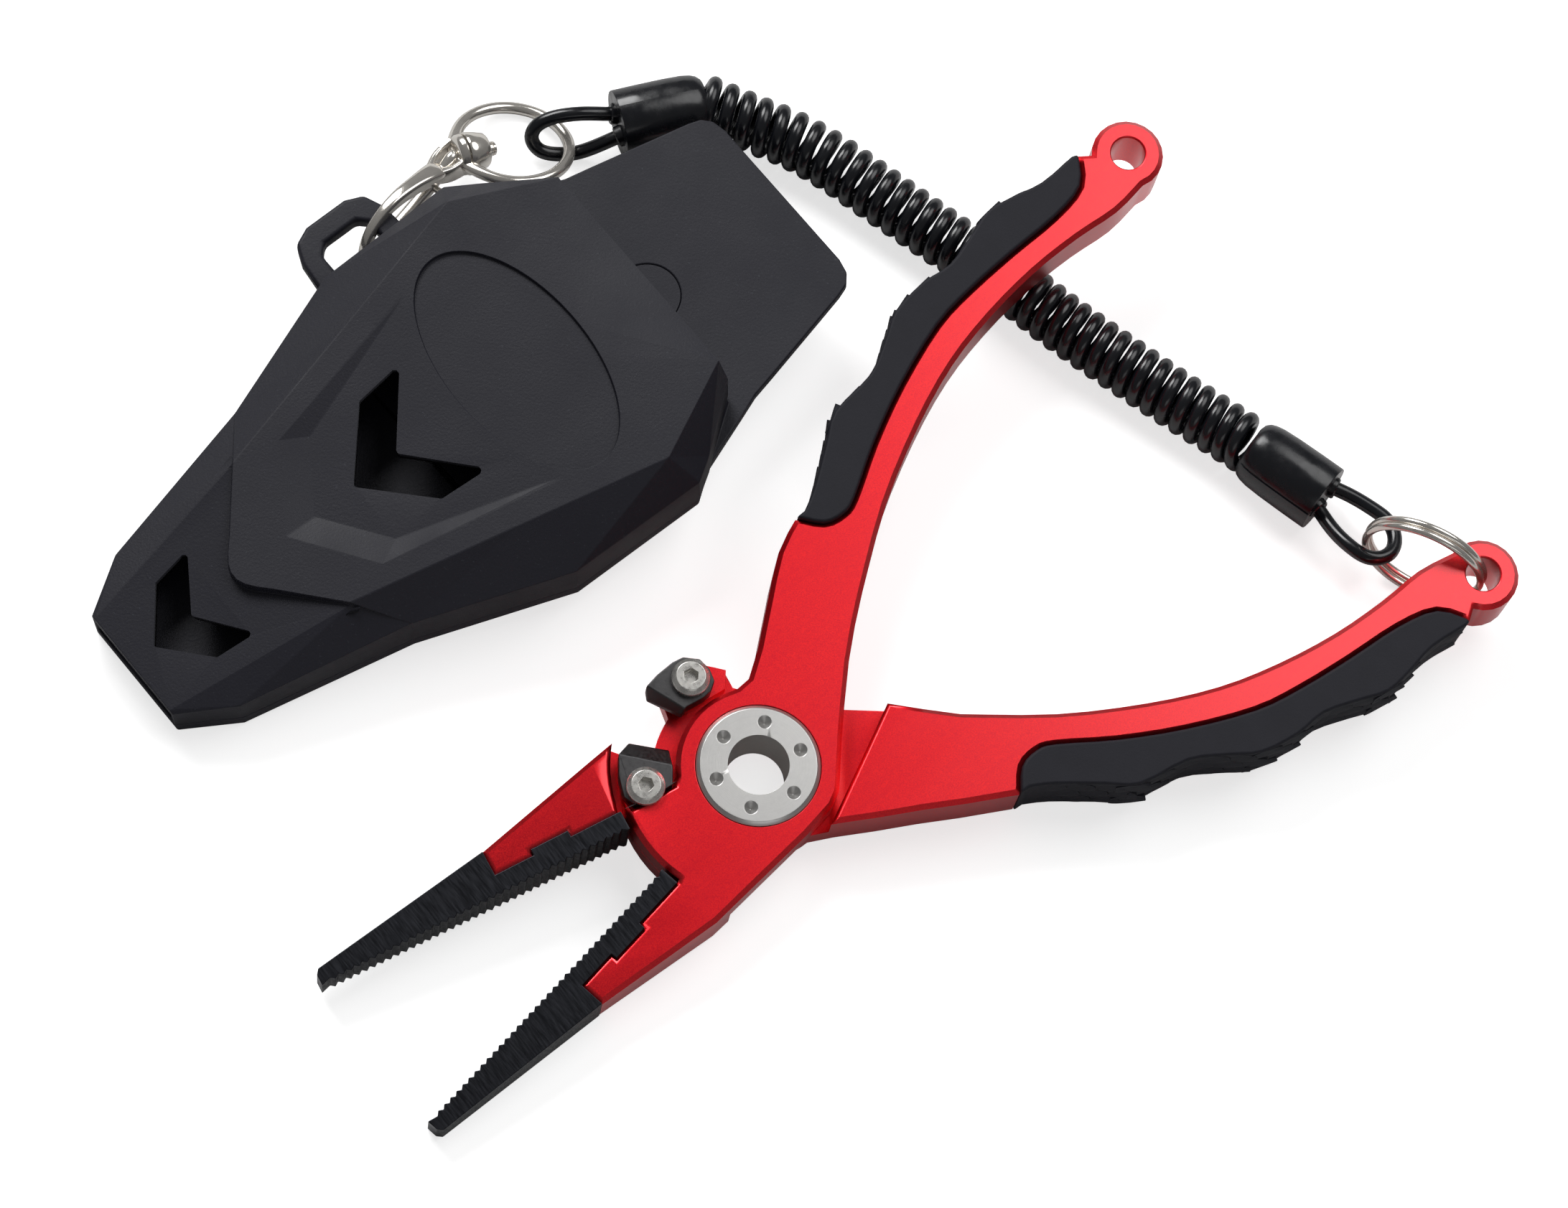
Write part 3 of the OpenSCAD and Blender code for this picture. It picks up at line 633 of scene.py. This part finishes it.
def wire_ring(bm, radius, wire, turns=1, rise=0.0, steps=96, sides=14, widen=None):
    """A ring of round wire about Z; more than one turn climbs by rise; widen(angle) makes the wire wider."""
    closed = turns == 1
    total = steps * turns
    rings = []
    for i in range(total if closed else total + 1):
        a = 2 * math.pi * i / steps
        z = 0 if closed else rise * (i / total - 0.5)
        w = widen(a) if widen else 1
        ring = []
        for x, y in circle(sides):
            reach = radius + wire * w * x
            ring.append(bm.verts.new((reach * math.cos(a), reach * math.sin(a), z + wire * y)))
        rings.append(ring)
    skin(bm, rings, not closed, closed)


def nickel_piece(bm, name, place, *replaced):
    finish_parts(bm, name, place, NICKEL, body_of(replaced[0]), replaced)


# Outlines of turned bodies are (x, radius); lofted ones are (x, y, z, half width, half height)
RING_COLLAR = [
    (4.5, 1.9), (4.7, 2.5), (5.0, 2.75), (6.0, 3.05), (7.0, 3.3), (8.0, 3.45), (8.3, 3.3), (8.35, 2.3),
]
RIVET = [
    (3.1, 0.95), (3.2, 1.1), (3.6, 1.15), (3.65, 1.0), (3.8, 1.0), (3.85, 1.2), (4.2, 1.2), (4.25, 1.05),
    (4.45, 1.05), (4.5, 1.25), (4.9, 1.25),
]
CLASP_COLLAR = [(8.45, 2.2), (8.5, 3.1), (8.7, 3.3), (9.4, 3.2), (9.9, 2.7), (10.0, 1.8)]
CLAW = [
    (1.9, 0.1, -0.9, 1.3, 0.8), (3.2, 0.2, -0.75, 1.75, 1.15), (5.2, 0.2, -0.6, 1.6, 1.25),
    (8.0, 0.2, -0.6, 1.3, 1.2), (11.3, 0.2, -0.9, 1.1, 1.1), (13.9, 0.2, -1.7, 0.95, 1.0),
    (16.1, 0.2, -3.0, 0.85, 0.9), (17.7, 0.2, -4.9, 0.85, 0.9), (18.6, 0.2, -7.4, 0.8, 0.85),
    (18.5, 0.2, -9.8, 0.75, 0.8), (17.8, 0.2, -11.4, 0.6, 0.6),
]
THUMB_LEVER = [
    (3.4, 0.1, -2.4, 0.6, 0.6), (2.6, 0.1, -1.7, 1.0, 1.0), (1.0, 0.2, -0.4, 1.05, 1.05),
    (0.0, 0.2, 0.35, 1.05, 1.05), (-0.7, 0.2, 0.8, 0.85, 0.85), (-1.1, 0.2, 1.0, 0.35, 0.35),
]
GATE_BAR = [
    (2.8, 0.1, -2.6, 0.8, 0.8), (5, 0.1, -3.8, 1.0, 0.9), (11, 0.1, -7.0, 0.95, 0.85),
    (16.4, 0.1, -9.7, 0.8, 0.7),
]


def yoke_arm(y):
    """One arm between the clasp's collar and the root of its claw, starting y mm off the middle."""
    return [
        (-2.4, y, -0.4, 0.5, 2.0), (-0.5, y * 1.02, -0.6, 0.5, 1.7), (1.6, y * 0.85, -0.9, 0.55, 1.5),
        (3.6, y * 0.4, -1.0, 0.7, 1.3),
    ]


def swivel_ring():
    bm = bmesh.new()
    wire_ring(bm, 9.0, 0.95, widen=lambda a: 1 + 0.9 * max(0, math.cos(a)) ** 12)
    add_turned(bm, RING_COLLAR)
    nickel_piece(bm, "swivel_ring_cast", CLASP, "swivel_ring")


def swivel_rivet():
    bm = bmesh.new()
    add_turned(bm, RIVET, 24)
    nickel_piece(bm, "swivel_rivet", CLASP, "swivel_post")


def clasp_body():
    """The claw with its yoke and collar in the hook's frame; the collar stands on the swivel post's line."""
    bm = bmesh.new()
    add_turned(bm, CLASP_COLLAR)
    bm.transform(HOOK.inverted() @ CLASP)
    for y in (-2.15, 2.15):
        add_loft(bm, rounded_path(yoke_arm(y)), 0.5)
    add_loft(bm, rounded_path(CLAW), 0.5)
    nickel_piece(bm, "clasp_cast_body", HOOK, "clasp_body")


def clasp_gate():
    bm = bmesh.new()
    add_loft(bm, rounded_path(THUMB_LEVER, 5), 1.0)
    add_loft(bm, rounded_path(GATE_BAR))
    nickel_piece(bm, "clasp_thumb_gate", HOOK, "clasp_gate", "gate_spring")


def split_ring():
    """Two turns of wire that stand apart."""
    bm = bmesh.new()
    wire_ring(bm, 9.35, 0.6, turns=2, rise=2.5, steps=80)
    upright = ON_TABLE @ shift(93.2, 56.4, 10.1) @ turn(-15) @ turn(90, "X")
    nickel_piece(bm, "split_ring_wire", upright, "split_ring")


swivel_ring()
swivel_rivet()
clasp_body()
clasp_gate()
split_ring()


# ---- raised scales on the outer side of the grips ----
GRIP_OUTER = [
    (34.6, 21.4), (38.4, 22.8), (44.8, 26.1), (49.8, 28.6), (57.9, 28.6), (64, 30.8), (68.5, 32.6),
    (74.8, 32.6), (80, 31.5), (86, 32.3), (90.5, 33), (95, 31.8), (100, 30), (106.4, 29.4),
]
SCALE_ROWS = ((3.0, 0.0, 1.0), (0.0, 0.5, 1.05), (-3.0, 0.0, 1.0))     # height, shift in pitches, size
SCALE_PITCH = 4.3
SCALE_LENGTH, SCALE_WIDTH, SCALE_RISE = 5.1, 3.8, 0.5
SCALE_SUNK = 0.12       # a scale's low end starts this far under the grip's surface
LINE_STEPS = 240


def add_scale(bm, at, along, out, size):
    """One scale: a leaf that rises along its length and ends in a step."""
    up = Vector((0, 0, 1))
    cols, rows = 8, 6
    grid = []
    for i in range(cols + 1):
        a = -1 + 2 * i / cols
        line = []
        for j in range(rows + 1):
            b = -1 + 2 * j / rows
            wide = SCALE_WIDTH / 2 * size * (1 - 0.35 * abs(a) ** 3)
            rise = SCALE_RISE * (0.5 + 0.5 * a) * (1 - 0.6 * b * b)
            tip = 0.45 * (1 - b * b) if i == cols else 0
            reach = a * SCALE_LENGTH / 2 * size + tip
            line.append(at + along * reach + up * b * wide + out * (rise - SCALE_SUNK))
        grid.append([bm.verts.new(p) for p in line])
    for i in range(cols):
        for j in range(rows):
            bm.faces.new((grid[i][j], grid[i + 1][j], grid[i + 1][j + 1], grid[i][j + 1]))
    rim = [grid[0][j] for j in range(rows + 1)] + [grid[i][rows] for i in range(1, cols + 1)]
    rim += [grid[cols][j] for j in range(rows - 1, -1, -1)] + [grid[i][0] for i in range(cols - 1, 0, -1)]
    low = [bm.verts.new(v.co - out) for v in rim]
    n = len(rim)
    for k in range(n):
        bm.faces.new((rim[k], rim[(k + 1) % n], low[(k + 1) % n], low[k]))
    bm.faces.new(low)


def grip_scales(side, place):
    line, length = even(spline([(x, y, 0) for x, y in GRIP_OUTER], 6), LINE_STEPS)
    bm = bmesh.new()
    for z, phase, size in SCALE_ROWS:
        k = 0.7 + phase
        while k * SCALE_PITCH < length - 3:
            i = int(k * SCALE_PITCH / length * LINE_STEPS)
            along = (line[min(i + 3, LINE_STEPS)] - line[max(i - 3, 0)]).normalized()
            out = Vector((-along.y, along.x, 0))
            add_scale(bm, line[i] + Vector((0, 0, z)), along, out, size)
            k += 1
    finish_parts(bm, "grip_" + side + "_scales", place, RUBBER, "handle_" + side, [], 30)


grip_scales("a", LEVER_A)
grip_scales("b", LEVER_B)

# ---- CAD nodes that keep their own shape ----
for node, material in (
    ("pivot_nut", STEEL), ("thrust_washer", BRASS), ("return_spring", DARK), ("gate_pin", NICKEL),
    ("gate_spring", DARK), ("shell_screws", DARK), ("clip_rivet", PLASTIC), ("belt_clip", PLASTIC),
):
    data = frame["nodes"][node].data
    data.materials.clear()
    data.materials.append(material)


# ---- sheath ----
# In the sheath's own frame u runs from its tip to its mouth, v across it, and heights stand on its back.
SEAM_H = 2.6
SLOT_TOP = 6.0
OVAL_U, OVAL_HALF_U, OVAL_HALF_V, OVAL_DEPTH = 73.4, 10.9, 21.0, 0.6
TIP_AT, CREST_AT, BEND_AT, SHOULDER_AT, MOUTH_AT = 0.0, 30.5, 60.3, 81.3, 97.0
RIM = [(TIP_AT, 10.0, 7.4), (8.5, 15.4, 7.9), (36.0, 21.7, 9.5), (BEND_AT, 30.8, 9.5), (83.6, 31.3, 9.4),
       (87.4, 28.9, 9.3), (MOUTH_AT + 0.6, 20.9, 9.2)]
PANEL_SLOPE, NOSE_SLOPE = 0.0421, 0.1415


def panel_z(u):
    return 11.57 + PANEL_SLOPE * u


def nose_z(u):
    return 7.8 + NOSE_SLOPE * u


class Relief:
    """A surface given by heights over the plan: points, lines between them, and holes."""

    def __init__(self):
        self.points, self.edges, self.holes = [], [], []

    def line(self, points, closed=False):
        first = len(self.points)
        self.points += [tuple(p) for p in points]
        n = len(points)
        self.edges += [(first + i, first + i + 1) for i in range(n - 1)]
        if closed:
            self.edges.append((first + n - 1, first))
        return list(range(first, first + n))

    def join(self, *pairs):
        self.edges += pairs

    def hole(self, points):
        self.holes.append([p[:2] for p in points])
        return self.line(points, True)

    def build(self, border):
        """(vertices, triangles) inside the border and outside the holes."""
        flat = [Vector(p[:2]) for p in self.points]
        verts, _, faces, sources, _, _ = delaunay_2d_cdt(flat, self.edges, [], 0, 1e-5, True)
        heights = [self.points[s[0]][2] if s else None for s in sources]
        kept = []
        for face in faces:
            middle = sum((verts[i] for i in face), Vector((0, 0))) / len(face)
            if inside(middle, border) and not any(inside(middle, h) for h in self.holes):
                kept.append(tuple(face))
        return [(v.x, v.y, h) for v, h in zip(verts, heights)], kept


def inside(p, loop):
    """True for a plan point inside the polygon."""
    hit = False
    for i, a in enumerate(loop):
        b = loop[i - 1]
        if (a[1] > p[1]) != (b[1] > p[1]) and p[0] < (b[0] - a[0]) * (p[1] - a[1]) / (b[1] - a[1]) + a[0]:
            hit = not hit
    return hit


def rounded(points, radius, steps=4):
    """The corners of a plan polygon rounded."""
    out = []
    n = len(points)
    for i in range(n):
        a, b, c = Vector(points[i - 1][:2]), Vector(points[i][:2]), Vector(points[(i + 1) % n][:2])
        p, q = (a - b).normalized(), (c - b).normalized()
        half = p.angle(q) / 2
        reach = min(radius / math.tan(half), (a - b).length * 0.45, (c - b).length * 0.45)
        r = reach * math.tan(half)
        centre = b + (p + q).normalized() * (r / math.sin(half))
        start, end = b + p * reach, b + q * reach
        for k in range(steps + 1):
            d = (start - centre).lerp(end - centre, k / steps).normalized()
            out.append(tuple(centre + d * r))
    return out


def mirrored(points):
    """The points, then the same ones on the other side in reverse order."""
    return list(points) + [(p[0], -p[1], *p[2:]) for p in reversed(points)]


def chevron(tip, inner, low, outer, radius):
    """A V window: the arms' upper corner, the inner point, the arms' lower corner and the outer point."""
    return rounded([tip, (inner, 0), (tip[0], -tip[1]), (low[0], -low[1]), (outer, 0), low], radius)


def sheath_surface():
    """The front shell's outer face: a V panel over a lower nose, a sunk V, two windows and a sunk oval."""
    relief = Relief()
    # plan outline, left rim from the tip to the mouth and back along the right
    crest_end = (MOUTH_AT, 19.4, 15.0)
    outline = mirrored([(u, v, z) for u, v, z in RIM] + [crest_end])
    border = relief.line(outline, True)

    def left(i):
        return border[i]

    def right(i):
        return border[len(outline) - 1 - i]

    # the V line: the panel's edge and, just outside it, the lower nose's edge
    step_end = 2
    arm = [(CREST_AT, 14.4), (26.6, 9.8), (23.0, 5.5)]
    nose = [(21.2, 3.5), (20.1, 2.0), (19.6, 0.7)]
    upper, lower = [], []
    for u, v in arm + nose:
        upper.append((u, v, panel_z(u)))
        lower.append((u - 0.13, v + 0.10 if u > 20.5 else v + 0.02, nose_z(u)))
    top_line = relief.line(mirrored(upper))
    low_line = relief.line(mirrored(lower))
    for line in (top_line, low_line):
        relief.join((left(step_end), line[0]), (right(step_end), line[-1]))
    # crests from the mouth's corner to the V line, and the facets that meet there
    crest = [(SHOULDER_AT, 26.9), (57.0, 20.9)]
    for sign, side_of in ((1, left), (-1, right)):
        ids = relief.line([(u, sign * v, panel_z(u)) for u, v in crest])
        relief.join((side_of(len(RIM)), ids[0]), (ids[-1], top_line[0 if sign > 0 else -1]))
        relief.join((ids[1], side_of(3)), (ids[0], side_of(4)), (ids[0], side_of(5)))
        low = low_line[0 if sign > 0 else -1]
        tip = relief.line([(TIP_AT, sign * 9.3, nose_z(TIP_AT))])
        relief.join((tip[0], low), (low, side_of(1)))
    # sunk V: its floor falls from the oval towards the nose
    depth = 1.1
    fade_u, nose_u = 66.9, 36.0

    def sunk(u):
        return panel_z(u) - depth * min(1, max(0, (fade_u - u) / (fade_u - nose_u)))

    reach_v, point_u = 19.4, 29.4
    outer = [(fade_u, reach_v), (37.9, 12.7), (point_u, 0), (37.9, -12.7), (fade_u, -reach_v)]
    inner = [(65.5, 18.55), (42.0, 10.6), (34.8, 0), (42.0, -10.6), (65.5, -18.55)]
    o = relief.line([(u, v, panel_z(u)) for u, v in outer])
    i = relief.line([(u, v, sunk(u)) for u, v in inner])
    relief.join((o[0], i[0]), (o[4], i[4]), (o[1], i[1]), (o[2], i[2]), (o[3], i[3]))
    for window, height in (
        (chevron((59.5, 10.9), 50.3, (51.1, 10.1), 42.1, 0.7), sunk),
        (chevron((17.1, 8.5), 11.3, (10.3, 7.6), 4.1, 0.6), nose_z),
    ):
        relief.hole([(u, v, height(u)) for u, v in window])
    # sunk oval plate
    for grow, fall in ((0, 0), (-0.14, OVAL_DEPTH)):
        ring = []
        for x, y in circle(96):
            u, v = OVAL_U + (OVAL_HALF_U + grow) * x, (OVAL_HALF_V + grow) * y
            in_v = u < fade_u and abs(v) < reach_v * (u - point_u) / (fade_u - point_u)
            ring.append((u, v, (sunk(u) if in_v else panel_z(u)) - fall))
        relief.line(ring, True)
    verts, faces = relief.build([p[:2] for p in outline])
    verts = [(u, v, panel_z(u) if z is None else z) for u, v, z in verts]
    return verts, faces, outline


def sheath_shell():
    verts, faces, outline = sheath_surface()
    bm = bmesh.new()
    points = [bm.verts.new(p) for p in verts]
    for f in faces:
        bm.faces.new([points[i] for i in f])
    bmesh.ops.delete(bm, geom=[v for v in bm.verts if not v.link_faces], context="VERTS")
    bm.normal_update()
    if sum(f.normal.z for f in bm.faces) < 0:
        bmesh.ops.reverse_faces(bm, faces=bm.faces)
    bmesh.ops.dissolve_limit(bm, angle_limit=math.radians(0.4), verts=bm.verts, edges=bm.edges)
    # walls down to the seam, or to the slot at the tip; the mouth stays open
    rim_edges = [e for e in bm.edges if len(e.link_faces) == 1 and not on_window(e)]
    for e in rim_edges:
        a, b = (v.co.copy() for v in e.verts)
        if min(a.x, b.x) > MOUTH_AT - 1 and abs(a.y - b.y) > 5:
            continue
        over_slot = max(a.x, b.x) < 0.01 and abs(a.y - b.y) > 5
        drop_wall(bm, e, SLOT_TOP if over_slot else SEAM_H)
    bmesh.ops.remove_doubles(bm, verts=bm.verts, dist=0.001)
    bmesh.ops.recalc_face_normals(bm, faces=bm.faces)
    weight = bm.edges.layers.float.new("bevel_weight_edge")
    for e in bm.edges:
        if len(e.link_faces) != 2:
            continue
        angle = math.degrees(e.calc_face_angle())
        middle = (e.verts[0].co + e.verts[1].co) / 2
        if angle > 50 or near_step(middle):
            e[weight] = 0.4
        elif angle > 12:
            e[weight] = 1.0
        elif angle > 3:
            e[weight] = 0.5
    bm.transform(Matrix.Scale(MM, 4) @ SHEATH)
    return bm


def on_window(edge):
    """True for an edge round one of the two chevron windows."""
    return all(2 < v.co.x < 61 and abs(v.co.y) < 12 for v in edge.verts)


def near_step(p):
    """True on the low step between the panel and the nose."""
    return p.z < 13 and abs(p.y) < 14 and 19 < p.x < 31


def drop_wall(bm, edge, low):
    """A wall from the edge straight down to the height low."""
    a, b = edge.verts
    c = bm.verts.new((b.co.x, b.co.y, low))
    d = bm.verts.new((a.co.x, a.co.y, low))
    bm.faces.new((a, b, c, d))


front = finish_mesh(
    sheath_shell(), "sheath_front_shell", PLASTIC, "sheath", ["sheath_front"], 0.6, 3,
)
shell = front.modifiers.new("wall", "SOLIDIFY")
shell.thickness = 1.8 * MM
shell.offset = -1
weighted(front)


def back_widths(p, along, convex):
    """Wider rounding on the D-loop than on the back panel."""
    q = SHEATH.inverted() @ p
    return 0.69 if q.y > 33 and 58 < q.x < 78 else 0.3


machined("sheath_back", "sheath_back_panel", back_widths, PLASTIC, segments=3)


# ---- stage ----
def floor_material():
    sh = Shader("floor_white")
    tree = sh.tree
    tree.nodes.remove(sh.bsdf)
    diffuse = sh.node("BsdfDiffuse", Color=(0.75, 0.75, 0.75, 1))
    glow = sh.node("Emission", Color=(1, 1, 1, 1), Strength=0.7)
    both = sh.node("AddShader")
    seen = sh.node("LightPath")
    pick = sh.node("MixShader")
    sh.link(diffuse.outputs[0], both.inputs[0])
    sh.link(glow.outputs[0], both.inputs[1])
    sh.link(seen.outputs["Is Camera Ray"], pick.inputs[0])
    sh.link(diffuse.outputs[0], pick.inputs[1])
    sh.link(both.outputs[0], pick.inputs[2])
    sh.link(pick.outputs[0], sh.out.inputs["Surface"])
    return sh.material


floor_mesh = bpy.data.meshes.new("floor")
half = 3.0
corners = [(-half, -half), (half, -half), (half, half), (-half, half)]
floor_mesh.from_pydata([(x, y, TABLE_Z * MM) for x, y in corners], [], [(0, 1, 2, 3)])
floor_mesh.materials.append(floor_material())
floor = bpy.data.objects.new("floor", floor_mesh)
scene.collection.objects.link(floor)

world = bpy.data.worlds.new("studio")
scene.world = world
world.use_nodes = True
tree = world.node_tree
background = tree.nodes["Background"]
path = tree.nodes.new("ShaderNodeLightPath")
strength = tree.nodes.new("ShaderNodeMix")
strength.inputs[2].default_value = 0.12
strength.inputs[3].default_value = 1.0
tree.links.new(path.outputs["Is Camera Ray"], strength.inputs[0])
tree.links.new(strength.outputs[0], background.inputs["Strength"])
background.inputs["Color"].default_value = (1, 1, 1, 1)


def lamp(name, location, target, size, power, shape="RECTANGLE"):
    data = bpy.data.lights.new(name, "AREA")
    data.shape = shape
    data.size, data.size_y = size
    data.energy = power
    made = bpy.data.objects.new(name, data)
    made.location = location
    made.rotation_mode = "QUATERNION"
    made.rotation_quaternion = (Vector(location) - Vector(target)).to_track_quat("Z", "Y")
    scene.collection.objects.link(made)
    return made


lamp("softbox_over", (0.42, 0.50, 0.9), (0.05, 0.05, 0), (0.8, 0.8), 4.0, "ELLIPSE")
lamp("softbox_back_left", (-0.75, 1.0, 1.1), (-0.02, 0.03, 0), (0.8, 0.8), 17)
lamp("fill_front", (0.5, -1.1, 0.7), (0, 0.03, 0), (0.9, 0.5), 1.0)
